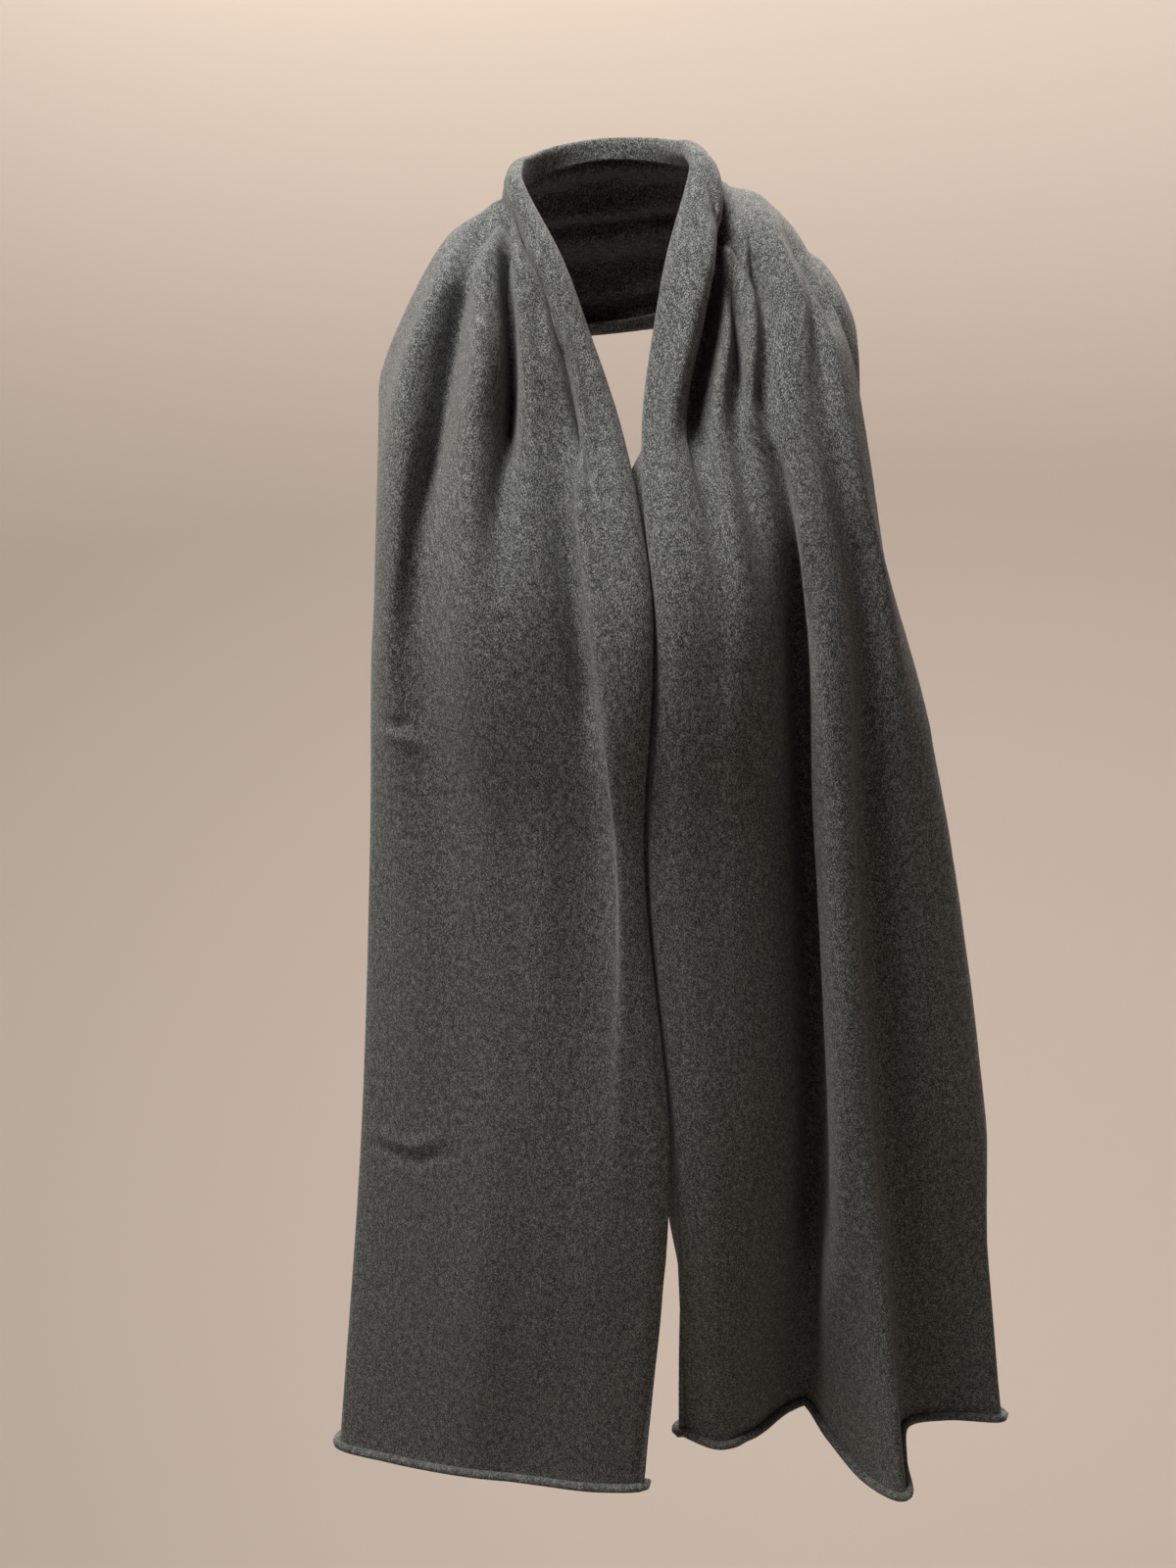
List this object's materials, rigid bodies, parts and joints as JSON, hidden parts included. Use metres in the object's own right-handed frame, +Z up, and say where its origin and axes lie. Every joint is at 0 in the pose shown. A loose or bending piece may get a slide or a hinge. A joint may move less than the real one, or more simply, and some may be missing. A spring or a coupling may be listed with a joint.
{
  "type": "scarf",
  "caption": "Plain grey jersey scarf worn round the neck, both ends hanging open in front in soft folds and pleats, with rolled hems.",
  "frame": {"origin": "on the axis of the neck, level with the scarf's edge beside the neck, where the wearer's neck and shoulders hold it up", "axes": "+Z up, -Y towards the front, where both ends hang, +X towards the end with the deep pleat"},
  "size_m": [0.4868, 0.2555, 0.9216],
  "materials": {
    "jersey": "brushed, heathered"
  },
  "bodies": {
    "root": {"left_fall": "jersey", "right_fall": "jersey", "nape_band": "jersey", "left_hem_roll": "jersey", "right_hem_roll": "jersey"}
  },
  "joints": []
}
